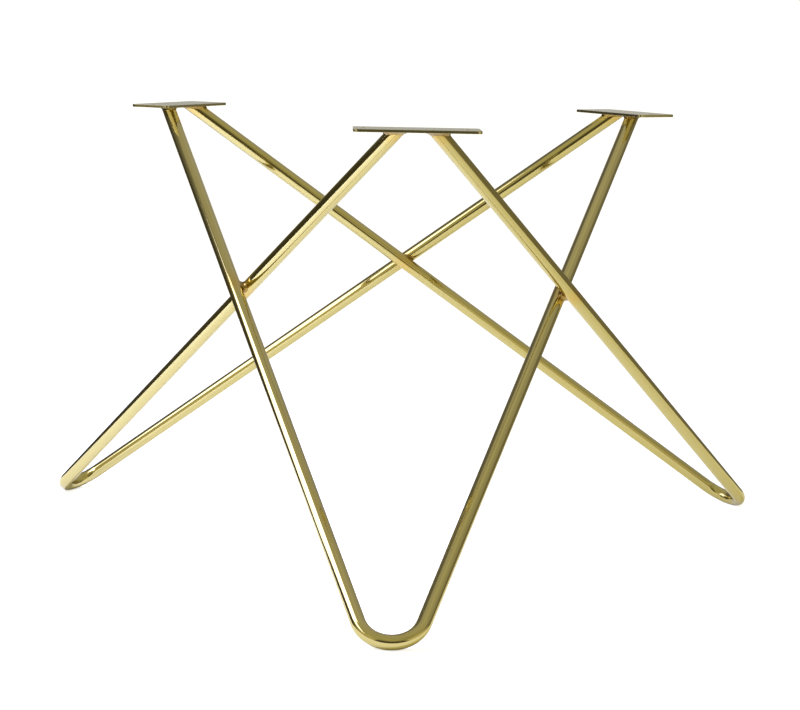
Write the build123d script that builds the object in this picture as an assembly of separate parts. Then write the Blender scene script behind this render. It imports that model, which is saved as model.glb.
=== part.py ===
from build123d import *
import os
from math import asin, atan2, copysign, cos, hypot, sin

# Coffee table base: three round tubes, each bent once into a V that stands on its bend.
# Each V leans in over the middle, passes its two neighbours and ends under two of three plates.
# Millimetres. Origin on the floor below the middle, +Z up, the front plate square to X and Y.

# Driving dimensions of the whole base
BASE_HEIGHT = 400.0          # floor to the top faces of the plates
FOOT_RADIUS = 390.0          # middle to the lowest point of a bend's centre line
LANDING_RADIUS = 249.0       # middle to the centre of a plate
LANDING_SPACING = 34.0       # between the two tube ends under a plate, along the plate
LANDING_STAGGER = 5.5        # how much further out the outer tube ends than the inner one

# Bent tubes
TUBE_DIAMETER = 12.7
TUBE_WALL = 1.2
BEND_RADIUS = 27.5           # of the centre line

# Mounting plates
PLATE_LENGTH = 105.0
PLATE_WIDTH = 42.0
PLATE_THICKNESS = 2.5
PLATE_CORNER_RADIUS = 4.0
PLATE_EDGE_BREAK = 0.3       # round the upper rim, which beds against the table top
SCREW_HOLE_DIAMETER = 5.5
SCREW_SPACING = 86.0         # between the two holes of a plate

# Welds
ROOT_GAP = 0.3               # between two tubes where they cross, closed by weld metal
CROSSING_WELD_RADIUS = 5.6   # of the bead round that gap
FILLET_LEG = 2.8             # of the bead round a tube end, along the plate and down the tube

# Derived sizes
TUBE_RADIUS = TUBE_DIAMETER / 2
BORE_RADIUS = TUBE_RADIUS - TUBE_WALL
UNDERSIDE = BASE_HEIGHT - PLATE_THICKNESS
CUTTER_LENGTH = BASE_HEIGHT  # of the bars that take a tube's room out of a bead, past both its ends

# Threefold layout: names and turns about Z, and the angles of the plates round the middle
SIDES = ("front", "right", "left")
THIRD = 360 / len(SIDES)
FRONT = -90.0
OUTER, INNER = 1, -1         # an arm passes outside one neighbour and inside the other
TURN_LIMIT = 30.0            # degrees, bounds for the search below
TURN_STEPS = 60


def landing(plate_angle, arm):
    """Centre of a tube end under the plate at plate_angle, for the outer or the inner arm."""
    outward = Vector(1, 0, 0).rotate(Axis.Z, plate_angle)
    along = Vector(0, 1, 0).rotate(Axis.Z, plate_angle)
    radius = LANDING_RADIUS + arm * LANDING_STAGGER / 2
    return outward * radius + along * (arm * LANDING_SPACING / 2) + Vector(0, 0, UNDERSIDE)


# The front leg's outer arm ends under the left plate and its inner arm under the right one
FRONT_LEG_ENDS = {arm: landing(FRONT - arm * THIRD, arm) for arm in (OUTER, INNER)}


def leg_plane(turn):
    """Plane of the front leg: origin at the bottom of the bend, X level, Y up the slope."""
    foot = Vector(FOOT_RADIUS, 0, TUBE_RADIUS).rotate(Axis.Z, FRONT - turn)
    level = (FRONT_LEG_ENDS[INNER] - FRONT_LEG_ENDS[OUTER]).normalized()
    climb = FRONT_LEG_ENDS[OUTER] - foot
    slope = climb - level * climb.dot(level)
    return Plane(origin=foot, x_dir=level, z_dir=level.cross(slope))


def arm_in_plane(plane, arm):
    """Bend point and direction, in the leg's plane, of the arm that is tangent to the bend."""
    end = plane.to_local_coords(FRONT_LEG_ENDS[arm])
    side = copysign(1, end.X)
    rise = end.Y - BEND_RADIUS
    angle = atan2(abs(end.X), rise) - asin(BEND_RADIUS / hypot(end.X, rise))
    bend_point = Vector(side * BEND_RADIUS * cos(angle), BEND_RADIUS * (1 - sin(angle)))
    return bend_point, Vector(side * sin(angle), cos(angle))


def arm_axis(plane, arm):
    """Axis of an arm in space: through its landing, pointing up."""
    direction = arm_in_plane(plane, arm)[1]
    top = plane.from_local_coords(direction) - plane.origin
    return Axis(FRONT_LEG_ENDS[arm], top)


def crossing_axes(turn):
    """Front leg's outer arm and the left leg's inner arm, which it passes on the outside."""
    plane = leg_plane(turn)
    neighbour = arm_axis(plane, INNER)
    turned = (neighbour.position.rotate(Axis.Z, -THIRD), neighbour.direction.rotate(Axis.Z, -THIRD))
    return arm_axis(plane, OUTER), Axis(*turned)


def crossing_points(turn):
    """Nearest points of the two crossing centre lines, on the outer arm and on the inner one."""
    outer, inner = crossing_axes(turn)
    across = outer.direction.cross(inner.direction)
    apart = inner.position - outer.position
    along_outer = apart.cross(inner.direction).dot(across) / across.dot(across)
    along_inner = apart.cross(outer.direction).dot(across) / across.dot(across)
    on_outer = outer.position + outer.direction * along_outer
    on_inner = inner.position + inner.direction * along_inner
    return on_outer, on_inner


def crossing_distance(turn):
    """Distance of the crossing centre lines, positive while the outer arm lies further out."""
    on_outer, on_inner = crossing_points(turn)
    reach = hypot(on_outer.X, on_outer.Y) - hypot(on_inner.X, on_inner.Y)
    return copysign((on_outer - on_inner).length, reach)


def meeting_turn():
    """Turn of the feet against the plates that leaves the root gap at each crossing, by halving."""
    low, high = -TURN_LIMIT, TURN_LIMIT
    for _ in range(TURN_STEPS):
        middle = (low + high) / 2
        if crossing_distance(middle) < TUBE_DIAMETER + ROOT_GAP:
            low = middle
        else:
            high = middle
    return (low + high) / 2


FOOT_TURN = meeting_turn()
LEG_PLANE = leg_plane(FOOT_TURN)


def leg_tube():
    """Front leg: a round tube swept along arm, bend and arm, and cut level under the plates."""
    bend, top = {}, {}
    for arm in (OUTER, INNER):
        bend[arm], direction = arm_in_plane(LEG_PLANE, arm)
        spare = TUBE_DIAMETER / arm_axis(LEG_PLANE, arm).direction.Z
        top[arm] = LEG_PLANE.to_local_coords(FRONT_LEG_ENDS[arm]) + direction * spare
    line = Line(top[OUTER], bend[OUTER])
    line += ThreePointArc(bend[OUTER], (0, 0), bend[INNER])
    line += Line(bend[INNER], top[INNER])
    path = LEG_PLANE.location * line
    section = Circle(TUBE_RADIUS) - Circle(BORE_RADIUS)
    tube = sweep(Plane(origin=path @ 0, z_dir=path % 0) * section, path=path)
    return split(tube, bisect_by=Plane.XY.offset(UNDERSIDE), keep=Keep.BOTTOM)


def mounting_plate():
    """Front plate: a flat strip with rounded corners, a broken upper rim and two screw holes."""
    outline = RectangleRounded(PLATE_LENGTH, PLATE_WIDTH, PLATE_CORNER_RADIUS)
    outline -= GridLocations(SCREW_SPACING, 0, 2, 1) * Circle(SCREW_HOLE_DIAMETER / 2)
    strip = extrude(outline, PLATE_THICKNESS)
    upper_rim = strip.faces().sort_by(Axis.Z)[-1].outer_wire().edges()
    return Pos(0, -LANDING_RADIUS, UNDERSIDE) * chamfer(upper_rim, PLATE_EDGE_BREAK)


def rod(axis):
    """Round bar with the tube's outside, centred on an axis's point."""
    return Plane(origin=axis.position, z_dir=axis.direction) * Cylinder(TUBE_RADIUS, CUTTER_LENGTH)


def end_section(axis, depth, grow):
    """Ellipse of the tube's cut at a depth below the plate, grown outwards by grow."""
    level = Vector(axis.direction.X, axis.direction.Y, 0).normalized()
    centre = axis.position - axis.direction * (depth / axis.direction.Z)
    section = Ellipse(TUBE_RADIUS / axis.direction.Z + grow, TUBE_RADIUS + grow)
    return Plane(origin=centre, x_dir=level, z_dir=(0, 0, 1)) * section


def fillet_weld(arm):
    """Bead round a tube end of the front leg, from the plate's underside down the tube."""
    axis = arm_axis(LEG_PLANE, arm)
    within_tube = end_section(axis, FILLET_LEG + TUBE_WALL, -TUBE_WALL)
    on_plate = end_section(axis, 0, FILLET_LEG)
    return loft([within_tube, on_plate], ruled=True) - rod(axis)


def crossing_weld():
    """Bead between the front leg's outer arm and the left leg's inner arm."""
    on_outer, on_inner = crossing_points(FOOT_TURN)
    outer, inner = crossing_axes(FOOT_TURN)
    between = Plane(origin=(on_outer + on_inner) / 2, z_dir=on_outer - on_inner)
    bead = between * Cylinder(CROSSING_WELD_RADIUS, TUBE_DIAMETER)
    return bead - rod(Axis(on_outer, outer.direction)) - rod(Axis(on_inner, inner.direction))


def ring(shape):
    """A shape of the front leg, and the same again for the right and the left leg."""
    return [Rot(0, 0, turns * THIRD) * shape for turns in range(len(SIDES))]


def write(name, shape):
    """Writes one node."""
    shape.label = name
    export_step(shape, f"parts/{name}.step")


os.makedirs("parts", exist_ok=True)
for side, tube, plate in zip(SIDES, ring(leg_tube()), ring(mounting_plate())):
    write(f"{side}_leg_tube", tube)
    write(f"{side}_mounting_plate", plate)
write("plate_welds", Compound(ring(fillet_weld(OUTER)) + ring(fillet_weld(INNER))))
write("crossing_welds", Compound(ring(crossing_weld())))
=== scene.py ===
from math import pi, radians

import bmesh
import bpy
import numpy as np
from mathutils import Matrix, Vector


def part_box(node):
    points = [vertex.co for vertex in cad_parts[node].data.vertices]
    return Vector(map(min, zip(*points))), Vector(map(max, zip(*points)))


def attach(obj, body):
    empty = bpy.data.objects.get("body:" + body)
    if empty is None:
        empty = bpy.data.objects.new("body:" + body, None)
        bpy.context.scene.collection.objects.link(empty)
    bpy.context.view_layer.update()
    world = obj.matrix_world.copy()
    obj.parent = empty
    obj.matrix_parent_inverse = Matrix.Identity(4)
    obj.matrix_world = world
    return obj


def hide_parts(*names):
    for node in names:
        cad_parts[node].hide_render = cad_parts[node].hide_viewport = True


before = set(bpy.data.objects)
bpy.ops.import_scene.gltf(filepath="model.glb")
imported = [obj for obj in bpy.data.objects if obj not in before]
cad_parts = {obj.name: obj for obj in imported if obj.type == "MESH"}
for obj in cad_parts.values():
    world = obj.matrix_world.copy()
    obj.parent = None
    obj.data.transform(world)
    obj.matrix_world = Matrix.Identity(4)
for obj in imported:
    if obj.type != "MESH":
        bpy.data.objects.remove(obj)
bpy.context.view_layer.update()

# Leg tubes: three lengths of round steel tube, each bent once over a former into a V.
# Polished and gold plated after welding. Each V leans in over the middle, passes its neighbours
# on the outside and on the inside, and is cut level under two of the three plates.

TUBE_RADIUS = 0.00635
TUBE_WALL = 0.0012
BEND_RADIUS = 0.0275            # of the centre line
BEND_FLAT = 0.14                # how far the inside of the bend is pressed in, as a share of the radius
FOOT_RADIUS = 0.390             # middle to the lowest point of a bend
LANDING_SPACING = 0.034         # between the two tube ends under a plate
LANDING_STAGGER = 0.0055        # how much further out the outer end lies
ROOT_GAP = 0.0003               # between two tubes where they cross
SIDES = ("front", "right", "left")
THIRD = 2 * pi / len(SIDES)
FRONT = -pi / 2
OUTER, INNER = 1, -1            # an arm passes outside one neighbour and inside the other
TURN_LIMIT = radians(30)        # either way, bounds for the feet's turn against the plates
TURN_STEPS = 50

plate_low, plate_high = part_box("front_mounting_plate")
UNDERSIDE = plate_low[2]
LANDING_RADIUS = -(plate_low[1] + plate_high[1]) / 2


def unit(vector):
    """Vector divided by its length."""
    return vector / np.linalg.norm(vector)


def turned(points, angle):
    """Points turned about the upright axis through the middle."""
    cosine, sine = np.cos(angle), np.sin(angle)
    return points @ np.array([[cosine, sine, 0], [-sine, cosine, 0], [0, 0, 1]])


def landing(plate_angle, arm):
    """Centre of a tube end: out along the plate's angle, then sideways by half the spacing."""
    out = LANDING_RADIUS + arm * LANDING_STAGGER / 2
    return turned(np.array([out, arm * LANDING_SPACING / 2, UNDERSIDE]), plate_angle)


def leg_layout(turn):
    """Front leg for a turn of its foot: the lowest point of the bend, the level and rising
    directions of its plane, and each arm's end, direction and half angle. An arm is the line
    from its end that touches the bend's circle, which stands on the lowest point."""
    foot = turned(np.array([FOOT_RADIUS, 0, TUBE_RADIUS]), FRONT - turn)
    ends = {arm: landing(FRONT - arm * THIRD, arm) for arm in (OUTER, INNER)}
    level = unit(ends[INNER] - ends[OUTER])
    climb = ends[OUTER] - foot
    rise = unit(climb - (climb @ level) * level)
    arms = {}
    for arm, end in ends.items():
        across, up = (end - foot) @ level, (end - foot) @ rise - BEND_RADIUS
        half = np.arctan2(abs(across), up) - np.arcsin(BEND_RADIUS / np.hypot(across, up))
        arms[arm] = end, np.sign(across) * np.sin(half) * level + np.cos(half) * rise, half
    return foot, level, rise, arms


def crossing(turn):
    """Where the front leg's outer arm passes the left leg's inner arm: the points of the two
    centre lines that lie nearest to each other, and the two directions."""
    arms = leg_layout(turn)[3]
    outer_end, outer_way = arms[OUTER][:2]
    inner_end, inner_way = (turned(part, -THIRD) for part in arms[INNER][:2])
    across = np.cross(outer_way, inner_way)
    apart = inner_end - outer_end
    on_outer = outer_end + outer_way * (np.cross(apart, inner_way) @ across) / (across @ across)
    on_inner = inner_end + inner_way * (np.cross(apart, outer_way) @ across) / (across @ across)
    return on_outer, on_inner, outer_way, inner_way


def meeting_turn():
    """Turn of the feet, by halving, that leaves just the root gap where the tubes cross."""
    low, high = -TURN_LIMIT, TURN_LIMIT
    for _ in range(TURN_STEPS):
        middle = (low + high) / 2
        on_outer, on_inner = crossing(middle)[:2]
        reach = np.hypot(*on_outer[:2]) - np.hypot(*on_inner[:2])
        apart = np.copysign(np.linalg.norm(on_outer - on_inner), reach)
        if apart < 2 * TUBE_RADIUS + ROOT_GAP:
            low = middle
        else:
            high = middle
    return (low + high) / 2


FOOT_TURN = meeting_turn()
FOOT, LEVEL, RISE, ARMS = leg_layout(FOOT_TURN)
NORMAL = np.cross(LEVEL, RISE)


def tube_skin(radius, girth, arm_rings, bend_rings):
    """Rings of a skin at a radius about the front leg's centre line, from the outer end to the
    inner one, with the length along the centre line. On the bend a ring is the circle spanned by
    the spoke from the bend's centre and the plane's normal. On an arm every line of the skin runs
    straight on from the bend to the level cut. The bender leaves the bend's inside a little flat."""
    start, stop = ARMS[OUTER][2] - pi / 2, pi / 2 - ARMS[INNER][2]
    angle = np.linspace(start, stop, bend_rings)[:, None]
    spoke = np.sin(angle) * LEVEL - np.cos(angle) * RISE
    pressed = np.sin(pi * (angle - start) / (stop - start)) ** 2 * np.minimum(np.cos(girth), 0) ** 2
    outward = np.cos(girth) * (1 - BEND_FLAT * pressed)
    circle = (outward[:, :, None] * spoke[:, None] + np.sin(girth)[:, None] * NORMAL) * radius
    bend = (FOOT + BEND_RADIUS * (RISE + spoke))[:, None] + circle
    share = np.linspace(0, 1, arm_rings)[1:, None]
    run, length = {}, {}
    for arm, ring in ((OUTER, bend[0]), (INNER, bend[-1])):
        way = ARMS[arm][1]
        reach = (UNDERSIDE - ring[:, 2]) / way[2]
        run[arm] = ring + (share * reach)[:, :, None] * way
        length[arm] = share * reach
    around = np.broadcast_to(BEND_RADIUS * angle, bend.shape[:2])
    rings = np.concatenate([run[OUTER][::-1], bend, run[INNER]])
    lengths = [around[0] - length[OUTER][::-1], around, around[-1] + length[INNER]]
    return rings, np.concatenate(lengths)


def grid_faces(rows, columns, closed_rows=False, closed_columns=False):
    """Four-sided faces of a grid of points, joined end to start where a direction is closed."""
    row = np.arange(rows if closed_rows else rows - 1)[:, None]
    column = np.arange(columns if closed_columns else columns - 1)[None, :]
    next_row, next_column = (row + 1) % rows, (column + 1) % columns
    corners = (row, column), (row, next_column), (next_row, next_column), (next_row, column)
    return np.stack([r * columns + c for r, c in corners], axis=-1).reshape(-1, 4)


def new_piece(name, points, faces, material):
    """Object at the origin with a smooth mesh of these points and faces."""
    mesh = bpy.data.meshes.new(name)
    mesh.from_pydata(points.reshape(-1, 3).tolist(), [], faces.tolist())
    mesh.materials.append(material)
    mesh.shade_smooth()
    piece = bpy.data.objects.new(name, mesh)
    bpy.context.scene.collection.objects.link(piece)
    return piece


def keep_values(piece, name, values, kind):
    """Stores one value or vector for each point of a piece, for its material to read."""
    field = {"FLOAT": "value", "FLOAT_VECTOR": "vector"}[kind]
    piece.data.attributes.new(name, kind, "POINT").data.foreach_set(field, values.ravel())


class Shade:
    """A socket of a material's nodes that takes part in sums: each operator adds a Math node."""

    def __init__(self, tree, socket=None):
        self.tree = tree
        self.socket = socket

    def add(self, kind, settings, inputs, output=0):
        """Adds any node: its settings are set first, then its sockets. Gives back one output."""
        node = self.tree.nodes.new("ShaderNode" + kind)
        for name, value in settings.items():
            setattr(node, name, value)
        for name, value in inputs.items():
            if isinstance(value, Shade):
                self.tree.links.new(value.socket, node.inputs[name])
            else:
                node.inputs[name].default_value = value
        return Shade(self.tree, node.outputs[output] if node.outputs else None)

    def math(self, operation, first, second):
        """One Math node on two values."""
        return self.add("Math", {"operation": operation}, {0: first, 1: second})

    def __add__(self, other):
        return self.math("ADD", self, other)

    def __sub__(self, other):
        return self.math("SUBTRACT", self, other)

    def __rsub__(self, other):
        return self.math("SUBTRACT", other, self)

    def __mul__(self, other):
        return self.math("MULTIPLY", self, other)

    __radd__, __rmul__ = __add__, __mul__

    def mix(self, first, second):
        """First colour where this value is 0, second where it is 1."""
        return self.add("Mix", {"data_type": "RGBA"}, {0: self, 6: first, 7: second}, 2)

    def ramp(self, low, high):
        """0 where this value is low, 1 where it is high, and a soft step between."""
        step = {"interpolation_type": "SMOOTHSTEP"}
        return self.add("MapRange", step, {0: self, 1: low, 2: high})

    def part(self, axis):
        """One component of this vector: 0, 1 or 2."""
        return self.add("SeparateXYZ", {}, {"Vector": self}, axis)

    def stretched(self, scale):
        """This vector times a scale for each of its axes."""
        return self.add("VectorMath", {"operation": "MULTIPLY"}, {0: self, 1: scale})

    def noise(self, scale, detail=2.0):
        """Soft noise from 0 to 1 over this vector, with its own scale for each axis."""
        place = self.stretched(scale)
        return self.add("TexNoise", {}, {"Vector": place, "Scale": 1.0, "Detail": detail})

    def relief(self, depth):
        """Normal of a surface raised by this height, from 0 to 1, times a depth in metres."""
        return self.add("Bump", {}, {"Strength": 1.0, "Distance": depth, "Height": self})


def new_finish(name):
    """Empty material and the start of its node sums."""
    material = bpy.data.materials.new(name)
    material.use_nodes = True
    material.node_tree.nodes.clear()
    return material, Shade(material.node_tree)


def surface_output(start, shader):
    """Links a shader to the material's output."""
    start.add("OutputMaterial", {}, {"Surface": shader})


def stored(start, name, output):
    """A piece's own stored values, as a Vector or as a number, which is called Fac."""
    return start.add("Attribute", {"attribute_name": name}, {}, output)


GOLD = (0.61, 0.52, 0.205, 1)
DEEP_GOLD = (0.54, 0.445, 0.16, 1)
AMBER = (0.62, 0.43, 0.11, 1)
GOLD_CLOUDS = (14.0, 90.0, 90.0)            # to the metre, along the tube and twice across it
DRAWN_LINES = (30.0, 2600.0, 2600.0)
POLISH_WAVES = (24.0, 150.0, 150.0)
WELD_PITS = (700.0, 700.0, 700.0)
POLISH_ROUGHNESS = 0.035
POLISH_WAVE_DEPTH = 0.00009


def polished_plating():
    """Gold plating on drawn tube: fine lines along the tube under a mirror polish, slow waves left
    by the polishing wheel, clouds of slightly deeper gold, and duller amber beside the welds."""
    material, start = new_finish("polished_gold_tube")
    along = stored(start, "along_tube", "Vector")
    heat = stored(start, "weld_heat", "Fac")
    clouds = along.noise(GOLD_CLOUDS)
    lines = along.noise(DRAWN_LINES)
    waves = along.noise(POLISH_WAVES, 1.0)
    pits = along.noise(WELD_PITS)
    plated = (clouds * 0.7 + lines * 0.3).mix(GOLD, DEEP_GOLD)
    shader = start.add("BsdfPrincipled", {}, {
        "Base Color": (heat * 0.75).mix(plated, AMBER),
        "Metallic": 1.0,
        "Roughness": POLISH_ROUGHNESS + clouds * 0.03 + lines * 0.03 + heat * 0.05,
        "Normal": (waves + lines * 0.01 + heat * pits * 0.03).relief(POLISH_WAVE_DEPTH),
    })
    surface_output(start, shader)
    return material


GIRTH_POINTS = 72
ARM_RINGS, BEND_RINGS, BORE_ARM_RINGS = 110, 40, 12
HEAT_REACH = 0.016              # of the amber plating beside a weld

# The girth runs backwards, so that the faces point out of the steel
girth = np.linspace(2 * pi, 0, GIRTH_POINTS, endpoint=False)
skin, skin_length = tube_skin(TUBE_RADIUS, girth, ARM_RINGS, BEND_RINGS)
bore, bore_length = tube_skin(TUBE_RADIUS - TUBE_WALL, girth, BORE_ARM_RINGS, BEND_RINGS)
tube_points = np.concatenate([skin, bore[::-1]])
tube_length = np.concatenate([skin_length, bore_length[::-1]])
on_girth = np.broadcast_to(girth, tube_length.shape)
along_tube = np.stack(
    [tube_length, TUBE_RADIUS * np.cos(on_girth), TUBE_RADIUS * np.sin(on_girth)], axis=-1)
on_outer, on_inner, outer_way, inner_way = crossing(FOOT_TURN)
welded = np.stack([on_outer, turned(on_inner, THIRD), ARMS[OUTER][0], ARMS[INNER][0]])
from_weld = np.linalg.norm(tube_points[:, :, None] - welded, axis=-1).min(axis=-1)
weld_heat = np.clip(1 - (from_weld - TUBE_RADIUS) / HEAT_REACH, 0, 1) ** 2
tube_faces = grid_faces(*tube_points.shape[:2], True, True)

tube_finish = polished_plating()
for thirds, side in enumerate(SIDES):
    placed = turned(tube_points, thirds * THIRD)
    tube = new_piece(f"{side}_bent_tube", placed, tube_faces, tube_finish)
    keep_values(tube, "along_tube", along_tube, "FLOAT_VECTOR")
    keep_values(tube, "weld_heat", weld_heat, "FLOAT")
    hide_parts(f"{side}_leg_tube")
    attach(tube, "root")

# Mounting plates: flat steel strip, blanked with round corners and two screw holes.
# The rims are broken, the faces are brushed along the strip and plated with the tubes.
# Each is welded on top of two tube ends and takes the table top.

PLATE_CORNER_RADIUS = 0.004
PLATE_EDGE_BREAK = 0.0003
SCREW_HOLE_RADIUS = 0.00275
SCREW_SPACING = 0.086
PLATE_HALF_LENGTH = (plate_high[0] - plate_low[0]) / 2
PLATE_HALF_WIDTH = (plate_high[1] - plate_low[1]) / 2
PLATE_TOP = plate_high[2]
CORNER_POINTS, EDGE_POINTS, SPOKE_POINTS = 9, 8, 5
SPOKE_CROWDING = 1.5            # draws the points of a spoke towards the hole
RIM_SEGMENTS = 3
RIM_ANGLE = radians(50)         # sharper edges than this are rims
MERGE_REACH = 1e-7


def half_outline():
    """Right half of a plate seen from above, anticlockwise: half the front edge, a quarter circle,
    the end, a quarter circle, half the back edge, and down the middle line to the start."""
    inset = np.array([PLATE_HALF_LENGTH, PLATE_HALF_WIDTH]) - PLATE_CORNER_RADIUS
    quarter = np.linspace(0, pi / 2, CORNER_POINTS)
    corner = PLATE_CORNER_RADIUS * np.stack([np.sin(quarter), -np.cos(quarter)], axis=-1)
    lower = corner + inset * (1, -1)
    upper = (corner * (1, -1))[::-1] + inset
    share = np.linspace(0, 1, EDGE_POINTS, endpoint=False)[:, None]
    front = np.array([0, -PLATE_HALF_WIDTH]) + share * (lower[0] - [0, -PLATE_HALF_WIDTH])
    end = lower[-1] + share[1:] * (upper[0] - lower[-1])
    back = upper[-1] + share[1:] * ([0, PLATE_HALF_WIDTH] - upper[-1])
    middle = np.array([0, PLATE_HALF_WIDTH]) * (1 - 2 * share)
    return np.concatenate([front, lower, end, upper, back, middle])


def at_height(flat, height):
    """Flat points, of a row or a grid, set at one height."""
    return np.concatenate([flat, np.full((*flat.shape[:-1], 1), height)], axis=-1)


def plate_grids():
    """Plate about its own middle, as grids of points. A face is spun from spokes that run from a
    screw hole out to the half outline. Walls stand on the whole outline and on the holes."""
    outline = half_outline()
    hole = np.array([SCREW_SPACING / 2, 0])
    spoke = np.arctan2(*(outline - hole).T[::-1])
    hole_edge = hole + SCREW_HOLE_RADIUS * np.stack([np.cos(spoke), np.sin(spoke)], axis=-1)
    share = np.linspace(0, 1, SPOKE_POINTS)[:, None, None] ** SPOKE_CROWDING
    sheet = hole_edge + share * (outline - hole_edge)
    rim = outline[:-EDGE_POINTS + 1]
    whole_rim = np.concatenate([rim, rim[-2:0:-1] * (-1, 1)])
    grids = [np.stack([at_height(whole_rim, height) for height in (UNDERSIDE, PLATE_TOP)])]
    for mirror in (1, -1):
        low, high = (at_height(sheet * (mirror, 1), height) for height in (UNDERSIDE, PLATE_TOP))
        hole_wall = np.stack([high[0], low[0]])
        half = (high[::-1], low, hole_wall)
        grids += half if mirror > 0 else [grid[::-1] for grid in half]
    return grids


def join_grids(grids, closed_rows=False):
    """Points and faces of several grids that are closed along their columns."""
    points, faces, count = [], [], 0
    for grid in grids:
        rows, columns = grid.shape[:2]
        points.append(grid.reshape(-1, 3))
        faces.append(grid_faces(rows, columns, closed_rows, closed_columns=True) + count)
        count += rows * columns
    return np.concatenate(points), np.concatenate(faces)


def merge_doubles(piece):
    """Welds points that lie on each other, where grids meet and where a row shrinks to a pole."""
    work = bmesh.new()
    work.from_mesh(piece.data)
    bmesh.ops.remove_doubles(work, verts=work.verts, dist=MERGE_REACH)
    work.to_mesh(piece.data)
    work.free()


PLATE_GOLD = (0.61, 0.54, 0.29, 1)
PLATE_DEEP_GOLD = (0.52, 0.45, 0.22, 1)
BRUSHED_GRAIN = (40.0, 2200.0, 2200.0)      # to the metre, along the plate, across it and upwards
BRUSHED_BANDS = (9.0, 160.0, 160.0)
HANDLING_MARKS = (160.0, 160.0, 160.0)
BRUSHED_ROUGHNESS = 0.11
BRUSH_DEPTH = 0.000016


def brushed_plating():
    """Gold plating over brushed strip: grain along the plate, broad duller bands from the brush,
    and small marks from handling."""
    material, start = new_finish("brushed_gold_plate")
    along = stored(start, "along_plate", "Vector")
    grain = along.noise(BRUSHED_GRAIN)
    bands = along.noise(BRUSHED_BANDS)
    marks = along.noise(HANDLING_MARKS, 4.0)
    shader = start.add("BsdfPrincipled", {}, {
        "Base Color": (bands * 0.6 + marks * 0.4).mix(PLATE_GOLD, PLATE_DEEP_GOLD),
        "Metallic": 1.0,
        "Roughness": BRUSHED_ROUGHNESS + grain * 0.10 + bands * 0.10,
        "Normal": (grain * 0.3 + bands).relief(BRUSH_DEPTH),
    })
    surface_output(start, shader)
    return material


plate_points, plate_faces = join_grids(plate_grids())
plate_finish = brushed_plating()
for thirds, side in enumerate(SIDES):
    placed = turned(plate_points + [0, -LANDING_RADIUS, 0], thirds * THIRD)
    plate = new_piece(f"{side}_plate", placed, plate_faces, plate_finish)
    keep_values(plate, "along_plate", plate_points, "FLOAT_VECTOR")
    merge_doubles(plate)
    rim_break = plate.modifiers.new("broken_rim", "BEVEL")
    rim_break.width = PLATE_EDGE_BREAK
    rim_break.segments = RIM_SEGMENTS
    rim_break.limit_method = "ANGLE"
    rim_break.angle_limit = RIM_ANGLE
    rim_break.harden_normals = True
    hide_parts(f"{side}_mounting_plate")
    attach(plate, "root")

# Plate welds: a fillet bead run round each tube end, against the underside of the plate.
# Weld metal with the ripples of the run left in it, plated with the rest.

FILLET_LEG = 0.0028
FACE_HOLLOW = 2.2               # power that draws the bead's face in between its toes, 2 is straight
WELD_SINK = 0.00015             # of a bead's hidden back into the steel that it joins
RIPPLE_PITCH = 0.0019
RIPPLE_HEIGHT = 0.00011
RIPPLE_LAG = 0.9                # of a ripple's middle behind its ends, as an angle
FACE_POINTS = 13
POINTS_PER_RIPPLE = 8


def ripples(count, angle, across):
    """Height of the weld's ripples: scallops along the run that lag behind in the bead's middle,
    and fade to nothing at its two toes. across goes from 0 at one toe to 1 at the other."""
    lag = RIPPLE_LAG * np.sin(pi * across)
    return RIPPLE_HEIGHT * np.abs(np.sin((count * angle - lag) / 2)) * np.sin(pi * across)


def tube_end_bead(arm):
    """Closed ring of weld round a tube end. Its section has a hollow face from the toe on the plate
    to the toe on the tube, and its back lies in both. The section is carried round the ellipse
    that the plate's plane cuts from the tube."""
    end, way, _ = ARMS[arm]
    along = unit(way * (1, 1, 0))
    aside = np.cross((0, 0, 1), along)
    count = round(2 * pi * (TUBE_RADIUS + FILLET_LEG / 2) / RIPPLE_PITCH)
    angle = np.linspace(0, 2 * pi, count * POINTS_PER_RIPPLE, endpoint=False)[:, None]
    across = np.linspace(0, 1, FACE_POINTS)
    swell = FILLET_LEG + ripples(count, angle, across)
    grow = swell * np.cos(across * pi / 2) ** FACE_HOLLOW
    depth = swell * np.sin(across * pi / 2) ** FACE_HOLLOW
    back_grow = np.broadcast_to([-WELD_SINK, -WELD_SINK, FILLET_LEG], (len(angle), 3))
    back_depth = np.broadcast_to([FILLET_LEG, -WELD_SINK, -WELD_SINK], (len(angle), 3))
    grow = np.concatenate([grow, back_grow], axis=1)[:, :, None]
    depth = np.concatenate([depth, back_depth], axis=1)[:, :, None]
    centre = end - way * depth / way[2]
    long_way = (TUBE_RADIUS / way[2] + grow) * np.cos(angle)[:, :, None] * along
    return centre + long_way + (TUBE_RADIUS + grow) * np.sin(angle)[:, :, None] * aside


WELD_GOLD = (0.48, 0.34, 0.09, 1)
WELD_AMBER = (0.22, 0.11, 0.025, 1)
WELD_STAINS = (260.0, 260.0, 260.0)         # to the metre
BEAD_PITS = (2400.0, 2400.0, 2400.0)
BEAD_ROUGHNESS = 0.12
BEAD_PIT_DEPTH = 0.00003


def weld_plating():
    """Gold plating over weld metal: no mirror polish, stains of amber, and the fine pitting that a
    brush doesn't reach."""
    material, start = new_finish("gold_weld_bead")
    place = start.add("TexCoord", {}, {}, "Object")
    stains = place.noise(WELD_STAINS, 3.0)
    pits = place.noise(BEAD_PITS)
    shader = start.add("BsdfPrincipled", {}, {
        "Base Color": stains.mix(WELD_GOLD, WELD_AMBER),
        "Metallic": 1.0,
        "Roughness": BEAD_ROUGHNESS + stains * 0.14,
        "Normal": pits.relief(BEAD_PIT_DEPTH),
    })
    surface_output(start, shader)
    return material


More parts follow.
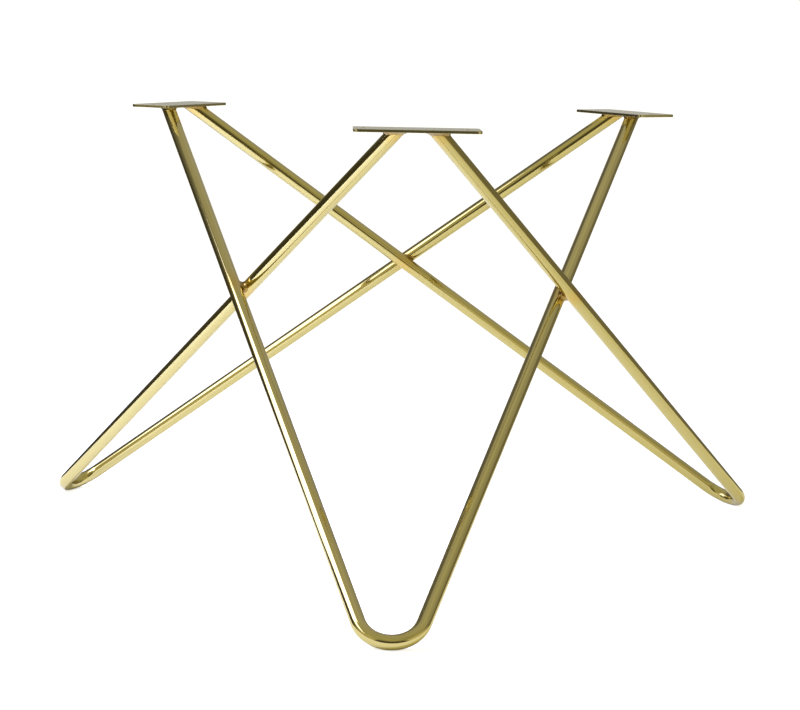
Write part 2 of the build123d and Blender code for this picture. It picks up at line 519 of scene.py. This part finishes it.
weld_finish = weld_plating()
end_beads = [tube_end_bead(OUTER), tube_end_bead(INNER)]
all_beads = [turned(bead, thirds * THIRD) for thirds in range(len(SIDES)) for bead in end_beads]
plate_beads = new_piece("plate_weld_beads", *join_grids(all_beads, closed_rows=True), weld_finish)
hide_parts("plate_welds")
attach(plate_beads, "root")

# Crossing welds: where two tubes pass, the notch between them is filled from all sides.
# The bead is a small hollow saddle, dressed a little after welding and plated with the rest.

SADDLE_RADIUS = 0.0030          # of the ball that would roll round in the hollow of the bead
SADDLE_RIPPLES = 22
SADDLE_ROWS = 13
TOE_SHARPNESS = 8               # power that keeps the dip of the toes to the bead's two edges


def crossing_bead():
    """Closed saddle between the two tubes. A ball rolls round the crossing and touches both tubes:
    its centre is as far from one centre line as from the other, which gives, for each angle round
    the line that joins the tubes, a reach and a height. The face is the ball's arc from touch to
    touch, and the two ends close inside the tubes' walls."""
    joining = unit(on_outer - on_inner)
    across_outer, across_inner = np.cross(joining, outer_way), np.cross(joining, inner_way)
    angle = np.linspace(0, 2 * pi, SADDLE_RIPPLES * POINTS_PER_RIPPLE, endpoint=False)
    flat = np.cos(angle)[:, None] * outer_way + np.sin(angle)[:, None] * across_outer
    off_outer, off_inner = flat @ across_outer, flat @ across_inner
    middle = np.linalg.norm(on_outer - on_inner) / 2
    from_line = TUBE_RADIUS + SADDLE_RADIUS
    lift = (off_outer ** 2 - off_inner ** 2) / (4 * middle)
    spread = off_outer ** 2 + off_inner ** 2
    room = from_line ** 2 - middle ** 2
    reach_squared = 4 * room / (spread + np.sqrt(spread ** 2 + 16 * lift ** 2 * room))
    reach, height = np.sqrt(reach_squared)[:, None], (lift * reach_squared)[:, None]
    centre = (on_outer + on_inner) / 2
    ball = centre + reach * flat + height * joining
    to_outer = (middle - height) * joining - reach * off_outer[:, None] * across_outer
    to_inner = -(middle + height) * joining - reach * off_inner[:, None] * across_inner
    to_outer, to_inner = to_outer / from_line, to_inner / from_line
    between = np.arccos(np.sum(to_outer * to_inner, axis=-1))[:, None]
    share = np.linspace(0, 1, SADDLE_ROWS)[:, None, None]
    inner_share, outer_share = np.sin((1 - share) * between), np.sin(share * between)
    arc = (inner_share * to_inner + outer_share * to_outer) / np.sin(between)
    toe = WELD_SINK * (2 * share - 1) ** TOE_SHARPNESS
    depth = SADDLE_RADIUS + toe - ripples(SADDLE_RIPPLES, angle, share[:, :, 0])[:, :, None]
    face = ball + depth * arc
    pole = middle - TUBE_RADIUS + WELD_SINK
    ends = [np.broadcast_to(centre + end * pole * joining, (1, *ball.shape)) for end in (-1, 1)]
    return np.concatenate([ends[0], face, ends[1]])


saddle = crossing_bead()
saddles = [turned(saddle, thirds * THIRD) for thirds in range(len(SIDES))]
crossing_beads = new_piece("crossing_weld_beads", *join_grids(saddles), weld_finish)
merge_doubles(crossing_beads)
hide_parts("crossing_welds")
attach(crossing_beads, "root")

# Floor: white paper, flat under the object and swept up into a wall far out.
# It takes the object's shadow, and looks white to the eye and pale gold in the object's polish.
# In the polish the glow is a painted pale gold reflection, with painted shade where the object stands
# close.

FLOOR_REACH, SWEEP_RADIUS = 20.0, 5.0
SWEEP_POINTS, ROUND_STEPS = 12, 96
WHITE, BLACK = (1, 1, 1, 1), (0, 0, 0, 1)
PAPER_WHITE = (0.8, 0.8, 0.8, 1)
FLOOR_GLOW = 0.74               # for the eye, on top of the light that the floor receives
MIRRORED_GLOW = 0.42            # for the polish, with painted shade where the object stands close
MIRRORED_TINT = (1.0, 0.98, 0.54, 1)
SHADE_REACH = 0.08
SHADE_SAMPLES = 6


def revolve(profile):
    """Surface of revolution: a profile of radius and height, turned about the upright axis."""
    angle = np.linspace(0, 2 * pi, ROUND_STEPS, endpoint=False)
    radius, height = np.array(profile).T[:, :, None]
    height = np.broadcast_to(height, (len(profile), ROUND_STEPS))
    return np.dstack([radius * np.cos(angle), radius * np.sin(angle), height])


def stage_piece(name, profile, material):
    """Piece of the studio, turned about the upright axis and closed round it."""
    piece = new_piece(name, *join_grids([revolve(profile)]), material)
    merge_doubles(piece)
    return piece


def floor_paper():
    """White paper that receives light and shadow. It glows for the eye and for reflections, and
    casts no light by its glow."""
    material, start = new_finish("white_floor")
    material.cycles.emission_sampling = "NONE"
    seen = start.add("LightPath", {}, {}, "Is Camera Ray")
    mirrored = start.add("LightPath", {}, {}, "Is Glossy Ray")
    through = start.add("LightPath", {}, {}, "Is Transmission Ray")
    # Ambient occlusion: painted shade on the glow that the polish shows, near the object
    painted_shade_openness = start.add("AmbientOcclusion", {"samples": SHADE_SAMPLES}, {"Distance": SHADE_REACH}, "AO")
    level = seen * FLOOR_GLOW + (mirrored + through) * painted_shade_openness * MIRRORED_GLOW
    tint = seen.mix(MIRRORED_TINT, WHITE)
    glow = start.add("Emission", {}, {"Color": level.mix(BLACK, tint)})
    paper = start.add("BsdfDiffuse", {}, {"Color": PAPER_WHITE})
    surface_output(start, start.add("AddShader", {}, {0: paper, 1: glow}))
    return material


quarter = np.linspace(0, pi / 2, SWEEP_POINTS)
sweep = np.stack([np.sin(quarter), 1 - np.cos(quarter)], axis=-1) * SWEEP_RADIUS + [FLOOR_REACH, 0]
stage_piece("floor", [(0, 0), *sweep], floor_paper())

# Curtain: a glowing sheet hung as a wide funnel round the object, which only its polish shows: a
# painted reflection.
# Darker on the left than on the right, pale in front but for a dark gap, and pale straight behind.

CURTAIN_FOOT, CURTAIN_RIM = (0.82, 0.001), (3.0, 1.0)
CURTAIN_TINT = (1.0, 0.93, 0.66, 1)
CURTAIN_BACK_TINT = (1.0, 1.0, 0.97, 1)
REFLECTION_LEVEL, REFLECTION_RIGHT_GAIN = 0.15, 0.09
FRONT_GAIN, BACK_GAIN = 0.6, 0.5
GAP_LOSS = 0.3


def painted_reflection_curtain_glow():
    """Painted reflection by its side of the object, as the way from the middle: its part to the right
    sets the level, and its part to the back opens the pale front, the gap in it and the pale back."""
    material, start = new_finish("painted_reflection_curtain")
    material.cycles.emission_sampling = "NONE"
    level_place = start.add("TexCoord", {}, {}, "Object").stretched((1, 1, 0))
    facing = start.add("VectorMath", {"operation": "NORMALIZE"}, {0: level_place})
    to_right, to_back = facing.part(0), facing.part(1)
    gap = to_back.ramp(-0.91, -0.955)
    front = to_back.ramp(-0.10, -0.70) * (1 - gap)
    back = to_back.ramp(0.93, 0.97)
    side_reflection_level = (REFLECTION_LEVEL + to_right * REFLECTION_RIGHT_GAIN) * (1 - gap * GAP_LOSS)
    level = side_reflection_level + front * FRONT_GAIN + back * BACK_GAIN
    tint = back.mix(CURTAIN_TINT, CURTAIN_BACK_TINT)
    # The emission is the painted reflection
    surface_output(start, start.add("Emission", {}, {"Color": level.mix(BLACK, tint)}))
    return material


curtain = stage_piece("curtain", [CURTAIN_FOOT, CURTAIN_RIM], painted_reflection_curtain_glow())
# Seen only in reflections: it does not show to the eye, light the floor or cast shadow
curtain.visible_camera = False
curtain.visible_diffuse = False
curtain.visible_shadow = False

# Lamps: two large panels on the left, which only the polish shows as white streaks,
# and two lamps that light the floor and don't show in the polish.

PANEL_RADIANCE, PANEL_COLOUR = 4.0, (0.68, 0.70, 1.10)
KEY_RADIANCE, KEY_COLOUR = 4.0, (1.0, 1.0, 1.0)
FLOOR_LAMP_RADIANCE, FLOOR_LAMP_COLOUR = 35.0, (0.88, 1.03, 2.3)


def area_lamp(name, place, facing, size, radiance, colour, roll=0.0):
    """Rectangular lamp at a place, facing one way and rolled about it by degrees, and hidden from
    the eye. Its power is its radiance times its area times pi."""
    lamp = bpy.data.lights.new(name, "AREA")
    lamp.shape = "RECTANGLE"
    lamp.size, lamp.size_y = size
    lamp.energy = radiance * pi * size[0] * size[1]
    lamp.color = colour
    stand = bpy.data.objects.new(name, lamp)
    stand.location = place
    stand.rotation_euler = Vector(facing).to_track_quat("-Z", "Y").to_euler()
    stand.rotation_euler.rotate_axis("Z", radians(roll))
    stand.visible_camera = False
    bpy.context.scene.collection.objects.link(stand)
    return stand


near_panel = area_lamp(
    "near_panel", place=(-1.15, -0.25, 0.88), facing=(-0.065, -0.79, -0.61), size=(1.26, 1.17),
    radiance=PANEL_RADIANCE, colour=PANEL_COLOUR, roll=-13.4)
far_panel = area_lamp(
    "far_panel", place=(-2.63, -0.36, 2.01), facing=(-0.36, 0.46, -0.81), size=(3.84, 1.47),
    radiance=PANEL_RADIANCE, colour=PANEL_COLOUR, roll=-63.6)
key_lamp = area_lamp(
    "key_lamp", place=(-0.90, -0.37, 1.0), facing=(1, 0, 0), size=(0.86, 1.06),
    radiance=KEY_RADIANCE, colour=KEY_COLOUR)
floor_lamp = area_lamp(
    "floor_lamp", place=(-0.90, -0.10, 0.90), facing=(0.40, 0.10, -0.90), size=(0.30, 0.30),
    radiance=FLOOR_LAMP_RADIANCE, colour=FLOOR_LAMP_COLOUR)
for panel in (near_panel, far_panel):
    panel.visible_diffuse = False
for lamp in (key_lamp, floor_lamp):
    lamp.visible_glossy = False

# Ceiling: the dim room above and around, which the polish shows over the curtain's rim.
# Mottled and warmer in front, darker behind on the left, low on the right and low in front.

CEILING_FRONT_TINT = (1.0, 0.97, 0.62, 1)
CEILING_BACK_TINT = (1.0, 1.0, 1.1, 1)
CEILING_LEVEL = 0.50
CEILING_MOTTLE = (2.6, 2.6, 2.6)
CORNER_LOSS, LOW_RIGHT_LOSS, LOW_FRONT_LOSS = 0.70, 0.42, 0.50

ceiling = bpy.data.worlds.new("dim_ceiling")
ceiling.use_nodes = True
ceiling.node_tree.nodes.clear()
start = Shade(ceiling.node_tree)
way = start.add("TexCoord", {}, {}, "Generated")
to_right, to_back, to_top = way.part(0), way.part(1), way.part(2)
dark_corner = (to_back * 0.77 - to_right * 0.64).ramp(0.25, 0.75)
low_right = to_right.ramp(0.60, 0.95) * to_top.ramp(0.65, 0.25)
low_front = to_back.ramp(-0.78, -0.90)
sides_shade = (1 - dark_corner * CORNER_LOSS) * (1 - low_right * LOW_RIGHT_LOSS)
shade = sides_shade * (1 - low_front * LOW_FRONT_LOSS)
light = CEILING_LEVEL + to_top * 0.05 - to_right * 0.04 + to_back * 0.04
patches = 0.6 + way.noise(CEILING_MOTTLE, 1.0) * 0.8
ceiling_level = light * shade * patches
ceiling_tint = to_back.ramp(-0.8, 0.8).mix(CEILING_FRONT_TINT, CEILING_BACK_TINT)
room = start.add("Background", {}, {"Color": ceiling_level.mix(BLACK, ceiling_tint)})
start.add("OutputWorld", {}, {"Surface": room})
bpy.context.scene.world = ceiling
bpy.context.scene.view_settings.view_transform = "Standard"

# Camera: stands a little left of the front, 2.2 m away, and looks slightly down on the plates.

CAMERA_PLACE = (-0.07539, -2.21792, 0.50603)
CAMERA_AZIMUTH, CAMERA_ELEVATION, CAMERA_ROLL = -1.8988, 8.4636, 1.2003
CAMERA_LENS, CAMERA_SENSOR = 108.227, 36.0

lens = bpy.data.cameras.new("camera")
lens.lens = CAMERA_LENS
lens.sensor_width = CAMERA_SENSOR
camera = bpy.data.objects.new("camera", lens)
camera.matrix_world = (
    Matrix.Translation(CAMERA_PLACE)
    @ Matrix.Rotation(radians(CAMERA_AZIMUTH), 4, "Z")
    @ Matrix.Rotation(radians(90 - CAMERA_ELEVATION), 4, "X")
    @ Matrix.Rotation(radians(CAMERA_ROLL), 4, "Z"))
bpy.context.scene.collection.objects.link(camera)
bpy.context.scene.camera = camera
